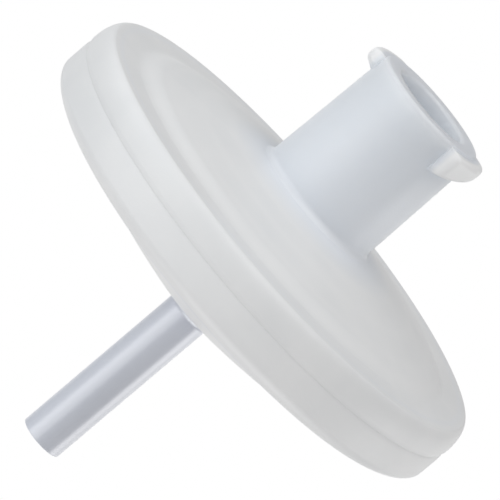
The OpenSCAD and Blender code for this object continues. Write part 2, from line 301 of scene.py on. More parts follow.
class Levels:
    """Heights and radii that the two halves share, worked out from the sizes."""

    def __init__(self, scene):
        i, h, s = scene.filter_inlet, scene.filter_housing, scene.filter_seat
        r, o = scene.filter_ribs, scene.filter_outlet
        self.socket_r = i.socket_d / 2
        self.socket_end_r = self.socket_r - i.socket_taper * i.socket_depth / 2
        self.port_r = i.port_d / 2
        self.inlet_r = i.tube_d / 2
        self.inlet_root_r = self.inlet_r + i.tube_draft / 2
        self.lug_r = i.lug_span / 2
        self.body_r = h.body_d / 2
        self.outlet_r = o.tube_d / 2
        self.bore_r = o.bore / 2

        self.band_z = i.tube_length + h.face_rise
        self.parting_z = self.band_z + h.parting_height
        self.seat_z = self.parting_z + s.seat_depth
        self.clamp_z = self.seat_z - s.membrane_t
        self.shoulder_z = self.band_z + h.rim_height
        self.outlet_root_z = self.shoulder_z + h.outlet_rise
        self.tip_z = self.outlet_root_z + o.tube_length

        self.bevel_h = min(h.parting_bevel, h.parting_height - h.shoulder_h)

        self.face_start_r = self.inlet_root_r + i.fillet
        self.band_out_r = self.body_r - h.shoulder_w
        self.band_in_r = self.band_out_r - h.band_w
        self.step_in_r = self.band_in_r - h.step_w
        self.step_in_z = self.band_z - h.step_h
        self.step_slope = (self.step_in_z - i.tube_length) / (self.step_in_r - self.face_start_r)

        self.groove_out_r = self.body_r - s.weld_wall
        self.tongue_out_r = self.groove_out_r - s.weld_gap
        self.tongue_in_r = self.tongue_out_r - s.tongue_t
        self.groove_in_r = self.tongue_in_r - s.weld_gap
        self.pocket_r = self.groove_in_r - s.pocket_wall
        self.clamp_r = self.pocket_r - s.clamp_gap
        self.seal_r = self.pocket_r - s.membrane_gap - s.seal_w
        self.weld_r = (self.groove_in_r + self.groove_out_r) / 2
        self.step_r = (self.step_in_r + self.band_in_r) / 2

        self.roof_edge_z = self.band_z + h.wall
        self.roof_mid_z = i.tube_length + h.wall
        self.roof_slope = (self.roof_edge_z - self.roof_mid_z) / (self.seal_r - self.inlet_root_r)
        self.floor_edge_z = self.seat_z + r.chamber_depth
        self.floor_mid_z = self.floor_edge_z + r.chamber_fall
        self.floor_slope = (self.floor_edge_z - self.floor_mid_z) / (self.seal_r - self.bore_r)

    def roof(self, r):
        return self.roof_mid_z + self.roof_slope * (r - self.inlet_root_r)

    def floor(self, r):
        return self.floor_mid_z + self.floor_slope * (r - self.bore_r)


def inlet_outline(scene, at):
    """Section of the inlet half, from the socket's floor round by the outside and back."""
    i, h, s = scene.filter_inlet, scene.filter_housing, scene.filter_seat
    return [
        (at.port_r, i.socket_depth),
        (at.socket_end_r, i.socket_depth),
        *rounded((at.socket_r + i.mouth_round, i.mouth_round), i.mouth_round, 180, 270),
        *rounded((at.inlet_r - i.mouth_round, i.mouth_round), i.mouth_round, -90, 0),
        *rounded((at.face_start_r, i.tube_length - i.fillet), i.fillet, 180, 90),
        *swelling((at.face_start_r, i.tube_length), (at.step_in_r, at.step_in_z), -h.face_swell),
        *stepped((at.step_in_r, at.step_in_z), (at.band_in_r, at.band_z), at.step_slope),
        *rounded((at.band_out_r, at.band_z + h.shoulder_h), (h.shoulder_w, h.shoulder_h), -90, 0),
        (at.body_r, at.parting_z - at.bevel_h),
        (at.body_r - h.parting_groove, at.parting_z),
        (at.tongue_out_r, at.parting_z),
        (at.tongue_out_r, at.parting_z + s.tongue_h),
        (at.tongue_in_r, at.parting_z + s.tongue_h),
        (at.tongue_in_r, at.parting_z),
        (at.clamp_r, at.parting_z),
        (at.clamp_r, at.clamp_z),
        (at.seal_r, at.clamp_z),
        (at.seal_r, at.roof_edge_z),
        (at.inlet_root_r, at.roof_mid_z),
        (at.port_r, at.roof_mid_z),
    ]


def outlet_outline(scene, at):
    """Section of the outlet half, from the weld groove round by the outside and back."""
    h, s, o = scene.filter_housing, scene.filter_seat, scene.filter_outlet
    return [
        (at.groove_out_r, at.parting_z),
        (at.body_r - h.parting_groove, at.parting_z),
        (at.body_r, at.parting_z + at.bevel_h),
        *rounded((at.body_r - h.outlet_shoulder_w, at.shoulder_z - h.outlet_shoulder_h),
                 (h.outlet_shoulder_w, h.outlet_shoulder_h), 0, 90),
        *swelling((at.body_r - h.outlet_shoulder_w, at.shoulder_z),
                  (at.outlet_r + o.fillet, at.outlet_root_z), h.outlet_swell),
        *rounded((at.outlet_r + o.fillet, at.outlet_root_z + o.fillet), o.fillet, -90, -180),
        *rounded((at.outlet_r - o.tip_bevel, at.tip_z - o.tip_bevel), o.tip_bevel, 0, 90),
        (at.bore_r, at.tip_z),
        (at.bore_r, at.floor_mid_z),
        (at.seal_r, at.floor_edge_z),
        (at.seal_r, at.seat_z),
        (at.pocket_r, at.seat_z),
        (at.pocket_r, at.parting_z),
        (at.groove_in_r, at.parting_z),
        (at.groove_in_r, at.parting_z + s.tongue_h + s.weld_gap),
        (at.groove_out_r, at.parting_z + s.tongue_h + s.weld_gap),
    ]


def lug_outline(scene, at):
    """Section of a lug halfway along it, and how far each of its points follows the helix."""
    i = scene.filter_inlet
    edge_z = i.lug_depth - i.lug_round * math.tan((math.pi / 2 - i.lug_flank) / 2)
    root_depth = i.lug_depth + (at.lug_r - at.inlet_r) * math.tan(i.lug_flank)
    edge_r = at.lug_r - i.lug_round
    top = [
        (at.inlet_r - WELD_IN, i.lug_setback),
        *rounded((edge_r, i.lug_setback + i.lug_round), i.lug_round, -90, 0, LUG_EDGE_STEPS),
    ]
    flank = [
        *rounded((edge_r, edge_z), i.lug_round, 0, 90 - math.degrees(i.lug_flank), LUG_EDGE_STEPS),
        (at.inlet_r, root_depth),
        (at.inlet_r - WELD_IN, root_depth),
    ]
    return top + flank, [0.0] * len(top) + [1.0] * len(flank)


def outline_object(name, section, weights=None):
    """Closed loop of edges for a tree to sweep; sections are (radius, height)."""
    area = sum(
        a[0] * b[1] - b[0] * a[1] for a, b in zip(section, section[1:] + section[:1])
    )
    order = list(range(len(section)))
    if area > 0:  # the sweep turns heights over, so a clockwise section faces outwards
        order.reverse()
    mesh = bpy.data.meshes.new(name)
    mesh.from_pydata(
        [(section[k][0] - TURN_R, -section[k][1], 0.0) for k in order],
        [(n, (n + 1) % len(order)) for n in range(len(order))],
        [],
    )
    if weights:
        helix = mesh.attributes.new("helix", "FLOAT", "POINT")
        helix.data.foreach_set("value", [weights[k] for k in order])
    return linked(name, mesh)


def linked(name, data):
    """An object in the scene that holds a mesh, a light or a camera."""
    obj = bpy.data.objects.new(name, data)
    bpy.context.scene.collection.objects.link(obj)
    return obj


def discard(*objects):
    for obj in objects:
        mesh = obj.data
        bpy.data.objects.remove(obj)
        bpy.data.meshes.remove(mesh)


# ----------------------------------------------------------------- node trees


class Nodes:
    """A node tree, built one node at a time."""

    def __init__(self, tree):
        self.tree = tree

    def add(self, kind, settings=None, **values):
        """A node; values are its inputs by name, with _ for a space, as a socket or a constant."""
        node = self.tree.nodes.new(kind)
        for key, value in (settings or {}).items():
            setattr(node, key, value)
        for key, value in values.items():
            self.feed(node.inputs[key.replace("_", " ")], value)
        return node

    def feed(self, socket, value):
        if isinstance(value, bpy.types.NodeSocket):
            self.tree.links.new(value, socket)
        else:
            socket.default_value = value

    def maths(self, operation, *values):
        node = self.add("ShaderNodeMath", {"operation": operation})
        for socket, value in zip(node.inputs, values):
            self.feed(socket, value)
        return node.outputs[0]

    def vector(self, x, y, z):
        return self.add("ShaderNodeCombineXYZ", X=x, Y=y, Z=z).outputs[0]

    def split(self, place):
        """The X, Y and Z of a place."""
        return self.add("ShaderNodeSeparateXYZ", Vector=place).outputs

    def radius(self, x, y):
        """Distance from the axis."""
        flat = self.vector(x, y, 0.0)
        return self.add("ShaderNodeVectorMath", {"operation": "LENGTH"}, Vector=flat).outputs["Value"]

    def mixed(self, factor, first, second):
        """Colour between two others."""
        mix = self.add("ShaderNodeMix", {"data_type": "RGBA"})
        for socket, value in [(0, factor), (6, first), (7, second)]:
            self.feed(mix.inputs[socket], value)
        return mix.outputs[2]

    def group(self, group, **values):
        """Outputs of a node group; values are its inputs."""
        return self.add("ShaderNodeGroup", {"node_tree": group}, **values).outputs

    def end_between(self, factor, first, second, end):
        """Ends the tree in a mix of two shaders."""
        mix = self.add("ShaderNodeMixShader")
        for socket, value in zip(mix.inputs, (factor, first, second)):
            self.feed(socket, value)
        self.feed(self.tree.nodes[end].inputs["Surface"], mix.outputs[0])


class Group(Nodes):
    """A node group with named inputs and outputs, each with its kind of socket."""

    def __init__(self, name, kind, inputs, outputs):
        super().__init__(bpy.data.node_groups.new(name, kind))
        for way, sockets in [("INPUT", inputs), ("OUTPUT", outputs)]:
            for label, socket in sockets.items():
                self.tree.interface.new_socket(
                    label.replace("_", " "), in_out=way, socket_type="NodeSocket" + socket
                )
        self.given = self.tree.nodes.new("NodeGroupInput").outputs
        self.result = self.tree.nodes.new("NodeGroupOutput").inputs

    def place(self):
        """The X, Y and Z of each point of the geometry."""
        return self.split(self.add("GeometryNodeInputPosition").outputs[0])

    def fused(self, *solids):
        """Solids made into one."""
        node = self.add("GeometryNodeMeshBoolean", {"operation": "UNION", "solver": "MANIFOLD"})
        for solid in solids:
            self.feed(node.inputs["Mesh 2"], solid)
        return node.outputs["Mesh"]

    def stored(self, name):
        """A number that each point keeps under a name."""
        return self.add("GeometryNodeInputNamedAttribute", Name=name).outputs["Attribute"]

    def on_axis(self, count):
        """A number of points, all on the axis."""
        return self.add("GeometryNodeMeshLine", Count=count, Offset=(0.0, 0.0, 0.0)).outputs[0]

    def real(self, geometry):
        return self.add("GeometryNodeRealizeInstances", Geometry=geometry).outputs[0]

    def end(self, geometry, within=None, second=None):
        """Ends the tree in real geometry with its material, and a second one on a selection of faces."""
        node = self.add("GeometryNodeSetMaterial", Geometry=self.real(geometry),
                        Material=self.given["Material"])
        if second:
            node = self.add("GeometryNodeSetMaterial", Geometry=node.outputs[0], Selection=within,
                            Material=self.given[second])
        self.feed(self.result["Geometry"], node.outputs[0])


def node_group(name, kind, inputs, outputs):
    """Has a function fill in a node group, once, when the group is first asked for."""

    def filled_by(fill):
        def group():
            if name not in bpy.data.node_groups:
                fill(Group(name, kind, inputs, outputs))
            return bpy.data.node_groups[name]

        return group

    return filled_by


def geometry_tree(name, **inputs):
    return node_group(name, "GeometryNodeTree", {**inputs, "Material": "Material"},
                      {"Geometry": "Geometry"})


def shader_group(name, outputs, **inputs):
    return node_group(name, "ShaderNodeTree", {"Vector": "Vector", **inputs}, outputs)


@geometry_tree(
    "Turned moulding", Outline="Geometry", Turning_Radius="Float", Segments="Int", Ribs="Object",
    Lugs="Object", Has_Lugs="Bool", Crease_Angle="Float", Tube_Length="Float", Tube_Material="Material",
)
def turned_tree(t):
    """Turns an outline, then fuses ribs and lugs into it as one moulding."""
    outline = t.add("GeometryNodeMeshToCurve", Mesh=t.given["Outline"])
    circle = t.add(
        "GeometryNodeCurvePrimitiveCircle",
        Resolution=t.given["Segments"], Radius=t.given["Turning Radius"],
    )
    turned = t.add(
        "GeometryNodeCurveToMesh", Curve=circle.outputs["Curve"], Profile_Curve=outline.outputs[0]
    )
    ribs, lugs = [
        t.add("GeometryNodeObjectInfo", Object=t.given[name]).outputs["Geometry"]
        for name in ("Ribs", "Lugs")
    ]
    ribbed = t.fused(turned.outputs[0], ribs)
    chosen = t.add("GeometryNodeSwitch", {"input_type": "GEOMETRY"}, Switch=t.given["Has Lugs"],
                   **{"False": ribbed, "True": t.fused(ribbed, lugs)})
    edge = t.add("GeometryNodeInputMeshEdgeAngle")
    soft = t.maths("LESS_THAN", edge.outputs["Unsigned Angle"], t.given["Crease Angle"])
    faces = t.add("GeometryNodeSetShadeSmooth", {"domain": "FACE"}, Geometry=chosen.outputs[0])
    edges = t.add(
        "GeometryNodeSetShadeSmooth", {"domain": "EDGE"}, Geometry=faces.outputs[0], Shade_Smooth=soft
    )
    in_tube = t.maths("LESS_THAN", t.place()["Z"], t.given["Tube Length"])
    t.end(edges.outputs["Geometry"], in_tube, "Tube Material")


@geometry_tree(
    "Slotted ring ribs", Start="Geometry", First_Radius="Float", Pitch="Float", Lower_Width="Float",
    Upper_Width="Float", Lower_Height="Float", Lower_Slope="Float", Upper_Height="Float",
    Upper_Slope="Float", Slot_Width="Float", Reach="Float", Count="Int", Slots="Int", Segments="Int",
)
def ring_rib_tree(t):
    """Ring ribs at an even pitch, with radial slots cut through them."""
    given = t.given

    # A point for each ring, all on the axis, that keeps its ring's radius
    index = t.add("GeometryNodeInputIndex").outputs[0]
    radius = t.maths("MULTIPLY_ADD", index, given["Pitch"], given["First Radius"])
    kept = t.add("GeometryNodeStoreNamedAttribute", Geometry=t.on_axis(given["Count"]),
                 Name="ring_radius", Value=radius)
    own = t.stored("ring_radius")
    unit = t.add("GeometryNodeCurvePrimitiveCircle", Resolution=given["Segments"], Radius=1.0)
    circles = t.add("GeometryNodeInstanceOnPoints", Points=kept.outputs[0],
                    Instance=unit.outputs["Curve"], Scale=t.vector(own, own, 1.0))

    # The section is one unit high, and each ring is then set between its two heights
    section = t.add("GeometryNodeCurvePrimitiveQuadrilateral", {"mode": "TRAPEZOID"}, Height=1.0,
                    Bottom_Width=given["Upper Width"], Top_Width=given["Lower Width"], Offset=0.0)
    swept = t.add("GeometryNodeCurveToMesh", Curve=t.real(circles.outputs[0]),
                  Profile_Curve=section.outputs[0])
    x, y, z = t.place()
    lower_z = t.maths("MULTIPLY_ADD", own, given["Lower Slope"], given["Lower Height"])
    upper_z = t.maths("MULTIPLY_ADD", own, given["Upper Slope"], given["Upper Height"])
    height = t.add("ShaderNodeMix", Factor=t.maths("ADD", z, 0.5), A=lower_z, B=upper_z)
    shaped = t.add("GeometryNodeSetPosition", Geometry=swept.outputs[0],
                   Position=t.vector(x, y, height.outputs[0]))

    # Bars from the axis outwards, one for each slot
    bar = t.add("GeometryNodeMeshCube", Size=t.vector(given["Reach"], given["Slot Width"], BAR_HEIGHT))
    bar = t.add("GeometryNodeTransform", Geometry=bar.outputs["Mesh"],
                Translation=t.vector(t.maths("MULTIPLY", given["Reach"], 0.5), 0.0, 0.0))
    turn = t.maths("DIVIDE", t.maths("ADD", index, 0.5), given["Slots"])
    turn = t.vector(0.0, 0.0, t.maths("MULTIPLY", turn, 2 * math.pi))
    bars = t.add("GeometryNodeInstanceOnPoints", Points=t.on_axis(given["Slots"]),
                 Instance=bar.outputs[0], Rotation=turn)
    merged = t.add("GeometryNodeMeshBoolean", {"operation": "UNION", "solver": "EXACT"},
                   Mesh_2=t.real(bars.outputs[0]), Self_Intersection=True)
    cut = t.add("GeometryNodeMeshBoolean", {"operation": "DIFFERENCE", "solver": "MANIFOLD"},
                Mesh_1=shaped.outputs[0], Mesh_2=merged.outputs["Mesh"])
    t.end(cut.outputs["Mesh"])


@geometry_tree(
    "Luer lugs", Section="Geometry", Turning_Radius="Float", Arc="Float", End_Arc="Float",
    Wall_Radius="Float", Lead="Float", Steps="Int",
)
def lug_tree(t):
    """Two Luer lugs, swept along an arc with a helical flank."""
    given = t.given
    section = t.add("GeometryNodeMeshToCurve", Mesh=given["Section"])
    arc = t.add("GeometryNodeCurveArc", {"mode": "RADIUS"}, Resolution=given["Steps"],
                Radius=given["Turning Radius"], Start_Angle=t.maths("MULTIPLY", given["Arc"], -0.5),
                Sweep_Angle=given["Arc"])
    swept = t.add("GeometryNodeCurveToMesh", Curve=arc.outputs["Curve"],
                  Profile_Curve=section.outputs[0], Fill_Caps=True)
    x, y, _ = t.place()
    turn = t.maths("ARCTAN2", y, x)
    climb = t.maths("MULTIPLY", turn, t.maths("DIVIDE", given["Lead"], 2 * math.pi))
    climb = t.maths("MULTIPLY", climb, t.stored("helix"))

    # Each end falls back to the tube's wall along a quarter of an ellipse
    to_end = t.maths("SUBTRACT", t.maths("MULTIPLY", given["Arc"], 0.5), t.maths("ABSOLUTE", turn))
    level = t.maths("MINIMUM", t.maths("DIVIDE", to_end, given["End Arc"]), 1.0)
    short = t.maths("SUBTRACT", 1.0, level)
    rise = t.maths("SUBTRACT", 1.0, t.maths("MULTIPLY", short, short))
    rise = t.maths("SQRT", t.maths("MAXIMUM", rise, LUG_END))
    radius = t.radius(x, y)
    stands = t.maths("MAXIMUM", t.maths("SUBTRACT", radius, given["Wall Radius"]), 0.0)
    back = t.maths("DIVIDE", t.maths("MULTIPLY", stands, t.maths("SUBTRACT", rise, 1.0)), radius)
    move = t.vector(t.maths("MULTIPLY", x, back), t.maths("MULTIPLY", y, back), climb)
    lug = t.add("GeometryNodeSetPosition", Geometry=swept.outputs[0], Offset=move)
    index = t.add("GeometryNodeInputIndex").outputs[0]
    half_turn = t.vector(0.0, 0.0, t.maths("MULTIPLY", index, math.pi))
    pair = t.add("GeometryNodeInstanceOnPoints", Points=t.on_axis(2), Instance=lug.outputs[0],
                 Rotation=half_turn)
    t.end(pair.outputs["Instances"])


def grown(name, source, tree, **values):
    """Plain mesh that a tree makes from a source object; values are its inputs, with _ for a space."""
    modifier = source.modifiers.new(name, "NODES")
    modifier.node_group = tree
    for item in tree.interface.items_tree:
        value = values.get(item.name.replace(" ", "_"))
        if value is not None and item.in_out == "INPUT":
            modifier[item.identifier] = value
    depsgraph = bpy.context.evaluated_depsgraph_get()
    depsgraph.update()
    mesh = bpy.data.meshes.new_from_object(source.evaluated_get(depsgraph), depsgraph=depsgraph)
    mesh.name = name
    source.modifiers.remove(modifier)
    if not mesh.polygons:
        raise RuntimeError(f"{name}: the tree made no faces")
    return mesh


# ------------------------------------------------------------------ materials


@shader_group(
    "Milky clouding", {"Color": "Color"},
    Clear="Color", Milky="Color", Cloud_Size="Float", Amount="Float",
)
def clouding_group(t):
    """Soft clouds between two tones, as in semi-crystalline plastic."""
    broad = t.add("ShaderNodeTexNoise", Vector=t.given["Vector"],
                  Scale=t.maths("DIVIDE", 1.0, t.given["Cloud Size"]), Detail=3.0, Roughness=0.45,
                  Distortion=0.4)
    level = t.add("ShaderNodeMapRange", Value=broad.outputs[0], From_Min=0.3, From_Max=0.7)
    milkiness = t.maths("MULTIPLY", level.outputs[0], t.given["Amount"])
    t.feed(t.result["Color"], t.mixed(milkiness, t.given["Clear"], t.given["Milky"]))


@shader_group(
    "Fine grain", {"Height": "Float", "Roughness": "Float"},
    Grain_Size="Float", Grain_Depth="Float", Wave_Size="Float", Wave_Depth="Float",
    Roughness="Float", Roughness_Spread="Float",
)
def grain_group(t):
    """Fine grain over soft waves: a height in metres and a wandering roughness."""
    fine, wave = [
        t.add("ShaderNodeTexNoise", Vector=t.given["Vector"],
              Scale=t.maths("DIVIDE", 1.0, t.given[size]), Detail=detail, Roughness=rough).outputs[0]
        for size, detail, rough in [("Grain Size", 2.0, 0.6), ("Wave Size", 1.0, 0.4)]
    ]
    grain = t.maths("MULTIPLY", fine, t.given["Grain Depth"])
    t.feed(t.result["Height"], t.maths("MULTIPLY_ADD", wave, t.given["Wave Depth"], grain))
    wander = t.maths("SUBTRACT", t.maths("ADD", fine, wave), 1.0)
    t.feed(t.result["Roughness"],
           t.maths("MULTIPLY_ADD", wander, t.given["Roughness Spread"], t.given["Roughness"]))


@shader_group(
    "Rings behind the wall", {"Mask": "Float"},
    First_Radius="Float", Pitch="Float", Last_Radius="Float", Softness="Float",
)
def rings_group(t):
    """Mask of evenly pitched rings round the axis, soft at their edges."""
    x, y, _ = t.split(t.given["Vector"])
    radius = t.radius(x, y)
    first = t.given["First Radius"]
    held = t.maths("MINIMUM", t.maths("MAXIMUM", radius, first), t.given["Last Radius"])
    step = t.maths("ROUND", t.maths("DIVIDE", t.maths("SUBTRACT", held, first), t.given["Pitch"]))
    nearest = t.maths("MULTIPLY_ADD", step, t.given["Pitch"], first)
    off = t.maths("DIVIDE", t.maths("SUBTRACT", radius, nearest), t.given["Softness"])
    t.feed(t.result["Mask"], t.maths("EXPONENT", t.maths("MULTIPLY", t.maths("MULTIPLY", off, off), -1.0)))


@shader_group(
    "Disc tube and lugs",
    {"Disc": "Float", "Tube": "Float", "Lugs": "Float", "Mouth": "Float", "Rim": "Float",
     "Bore": "Float"},
    Tube_Radius="Float", Disc_Radius="Float", Lug_Radius="Float", Lug_Depth="Float",
    Mouth_Depth="Float", Rim_Depth="Float", Bore_Radius="Float",
)
def wall_group(t):
    """Masks of the disc, the tube, the lugs, the tube's mouth, its end face and its bore."""
    given = t.given
    x, y, z = t.split(given["Vector"])
    radius = t.radius(x, y)

    def beyond(value, low, high):
        """Soft step from 0 at a low value to 1 at a high one."""
        ramp = t.add("ShaderNodeMapRange", {"interpolation_type": "SMOOTHSTEP"}, Value=value,
                     From_Min=low, From_Max=high)
        return ramp.outputs[0]

    def within(value, low, high):
        return t.maths("SUBTRACT", 1.0, beyond(value, low, high))

    disc = beyond(radius, given["Tube Radius"], given["Disc Radius"])
    raised = beyond(radius, given["Tube Radius"], given["Lug Radius"])
    lug_end = t.maths("MULTIPLY", given["Lug Depth"], LUG_FADE)
    bore_end = t.maths("MULTIPLY", given["Bore Radius"], BORE_FADE)
    for name, mask in {
        "Disc": disc,
        "Tube": t.maths("SUBTRACT", 1.0, disc),
        "Lugs": t.maths("MULTIPLY", raised, within(z, given["Lug Depth"], lug_end)),
        "Mouth": within(z, 0.0, given["Mouth Depth"]),
        "Rim": within(z, 0.0, given["Rim Depth"]),
        "Bore": within(radius, given["Bore Radius"], bore_end),
    }.items():
        t.feed(t.result[name], mask)


class Finish(Nodes):
    """A material with its Principled shader."""

    def __init__(self, name):
        self.material = bpy.data.materials.new(name)
        self.material.use_nodes = True
        super().__init__(self.material.node_tree)
        self.shader = self.tree.nodes["Principled BSDF"]

    def shade(self, **values):
        """Sets the shader's inputs, with _ for a space."""
        for key, value in values.items():
            self.feed(self.shader.inputs[key.replace("_", " ")], value)

    def grained(self, **values):
        """Wandering roughness, and a grain felt as a bump whose height is in metres."""
        grain = self.group(grain_group(), **values)
        bump = self.add("ShaderNodeBump", Strength=1.0, Distance=1.0, Height=grain["Height"])
        self.shade(Roughness=grain["Roughness"], Normal=bump.outputs[0])


def plastic_material(name, finish, at, tube_tone, gloss, coat, scatter, amount, ribs, **walls):
    """Frosted natural polypropylene: milky in the disc and lugs, clearer in the tube's thin wall, with
    painted shade at the tube's mouth and over the weld groove, and painted light on the lugs and along the
    step.
    """
    look = Finish(name)
    place = look.add("ShaderNodeTexCoord").outputs["Object"]
    walls = look.group(wall_group(), Vector=place, Mouth_Depth=finish.mouth_shade_depth,
                       Rim_Depth=finish.rim_shade_depth, **walls)
    disc = look.group(clouding_group(), Vector=place, Clear=finish.clear, Milky=finish.milky,
                      Cloud_Size=finish.cloud_size, Amount=finish.cloud_amount)["Color"]
    # Rings of tone on the disc: lighter over the inner ribs; painted shade over the weld groove; and over
    # the soft step a lighter band, partly the thick clamping ring beneath and partly painted light
    for (first, pitch, last), softness, strength, tone in [
        (ribs, RIB_BLUR, finish.rib_tone, finish.milky),
        ((at.weld_r, ONE_RING, at.weld_r), WELD_SHADE_BLUR, finish.weld_painted_shade, tube_tone),
        ((at.step_r, ONE_RING, at.step_r), CLAMP_AND_STEP_BLUR, finish.clamp_and_step_light, finish.thick),
    ]:
        rings = look.group(rings_group(), Vector=place, First_Radius=first, Pitch=pitch,
                           Last_Radius=last, Softness=softness)
        disc = look.mixed(look.maths("MULTIPLY", rings["Mask"], strength), disc, tone)
    # Painted shade: the tube darkens towards its mouth and more on its end face, and inside the bore the
    # bore glow takes it back towards the tube's own tone
    wall = look.mixed(walls["Mouth"], tube_tone, finish.mouth)
    wall = look.mixed(walls["Rim"], wall, finish.rim)
    wall = look.mixed(look.maths("MULTIPLY", walls["Bore"], finish.bore_glow), wall, tube_tone)
    tone = look.mixed(walls["Disc"], wall, disc)
    # The lugs' lighter tone is partly thick milky plastic and partly painted light
    look.shade(
        Base_Color=look.mixed(walls["Lugs"], tone, finish.lugs), IOR=PLASTIC_IOR,
        Coat_Weight=look.maths("MULTIPLY", walls["Tube"], gloss), Coat_Roughness=COAT_ROUGHNESS,
        Coat_IOR=coat, Subsurface_Weight=amount, Subsurface_Radius=(1.0, 1.0, 1.0),
        Subsurface_Scale=scatter,
    )
    look.grained(Vector=place, Grain_Size=finish.grain_size, Grain_Depth=finish.grain_depth,
                 Wave_Size=finish.wave_size, Wave_Depth=finish.wave_depth, Roughness=finish.roughness,
                 Roughness_Spread=finish.roughness_spread)
    return look.material


def membrane_material(finish):
    """Plain white microporous sheet."""
    look = Finish("microporous membrane")
    place = look.add("ShaderNodeTexCoord").outputs["Object"]
    pores = look.group(clouding_group(), Vector=place, Clear=finish.pore, Milky=finish.face,
                       Cloud_Size=finish.pore_size, Amount=1.0)
    look.shade(Base_Color=pores["Color"])
    look.grained(Vector=place, Grain_Size=finish.pore_size * PORE_GRAIN, Grain_Depth=finish.pore_depth,
                 Wave_Size=finish.pore_size * PORE_WAVES, Wave_Depth=finish.pore_depth,
                 Roughness=MEMBRANE_ROUGHNESS, Roughness_Spread=MEMBRANE_WANDER)
    return look.material


# ------------------------------------------------------------------ operators


def rings_within(first, pitch, limit):
    """How many rings at a pitch fit inside a radius, and the radius of the last one."""
    count = int(math.floor((limit - first) / pitch + ROUNDING)) + 1
    return count, first + (count - 1) * pitch


def ring_ribs(name, scene, at, material, **sizes):
    """Ring ribs of one half, ready to be fused into it; sizes are the tree's own inputs."""
    start = linked("rib_start", bpy.data.meshes.new("rib_start"))
    mesh = grown(name, start, ring_rib_tree(), Slot_Width=scene.filter_ribs.slot_w, Reach=at.seal_r,
                 Segments=scene.filter_housing.segments, Material=material, **sizes)
    discard(start)
    return linked(name, mesh)


def moulding(name, scene, section, ribs, lugs, material, tube_material, tube_length, stands_for):
    """One finished moulding that stands for its CAD node; one with no lugs gives None for them."""
    source = outline_object(name + "_outline", section)
    mesh = grown(
        name, source, turned_tree(), Turning_Radius=TURN_R, Segments=scene.filter_housing.segments,
        Ribs=ribs, Lugs=lugs or ribs, Has_Lugs=lugs is not None, Crease_Angle=CREASE,
        Material=material, Tube_Material=tube_material, Tube_Length=tube_length,
    )
    check = bmesh.new()
    check.from_mesh(mesh)
    closed = all(len(edge.link_faces) == 2 for edge in check.edges)
    volume = check.calc_volume(signed=True)
    check.free()
    if not closed or volume <= 0:
        raise RuntimeError(f"{name}: closed {closed}, volume {volume}")
    piece = linked(name, mesh)
    discard(source, ribs, *([lugs] if lugs else []))
    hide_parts(stands_for)
    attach(piece, "root")
    return piece


class FILTER_OT_inlet_half(bpy.types.Operator):
    """Inlet half: cone, shoulder, Luer socket, two lugs and spreader ribs in one moulding"""

    bl_idname = "syringe_filter.inlet_half"
    bl_label = "Inlet half"

    def execute(self, context):
        scene = context.scene
        at = Levels(scene)
        i, r, finish = scene.filter_inlet, scene.filter_ribs, scene.filter_plastic
        count, last_r = rings_within(r.spreader_r, r.spreader_pitch, at.seal_r - r.spreader_w)
        material, tube_material = [
            plastic_material(
                name, finish, at, finish.inlet_tube, finish.inlet_gloss, INLET_COAT_IOR, scatter,
                amount, (r.spreader_r, r.spreader_pitch, last_r),
                Tube_Radius=at.inlet_root_r * INLET_TONES[0],
                Disc_Radius=at.inlet_root_r * INLET_TONES[1],
                Lug_Radius=at.lug_r - i.lug_round, Lug_Depth=i.lug_depth * LUG_TONE,
                Bore_Radius=at.socket_r * BORE_TONE,
            )
            for name, scatter, amount in [
                ("natural polypropylene inlet", finish.scatter, finish.scatter_share),
                ("clearer polypropylene inlet tube", finish.tube_scatter, 1.0),
            ]
        ]
        roof_at_axis = at.roof(0.0)
        ribs = ring_ribs(
            "spreader_ribs", scene, at, material, First_Radius=r.spreader_r, Pitch=r.spreader_pitch,
            Count=count, Lower_Width=r.spreader_w, Upper_Width=r.spreader_w,
            Lower_Height=roof_at_axis - WELD_IN, Lower_Slope=at.roof_slope,
            Upper_Height=roof_at_axis + r.spreader_h, Upper_Slope=at.roof_slope, Slots=r.spreader_slots,
        )
        profile = outline_object("lug_section", *lug_outline(scene, at))
        lugs = linked("lugs", grown(
            "lugs", profile, lug_tree(), Turning_Radius=TURN_R, Arc=i.lug_arc, End_Arc=i.lug_end_arc,
            Wall_Radius=at.inlet_r, Lead=i.lug_lead, Steps=i.lug_steps, Material=material,
        ))
        discard(profile)
        moulding("inlet_half", scene, inlet_outline(scene, at), ribs, lugs, material, tube_material,
                 i.tube_length - i.fillet, "inlet_housing")
        return {"FINISHED"}


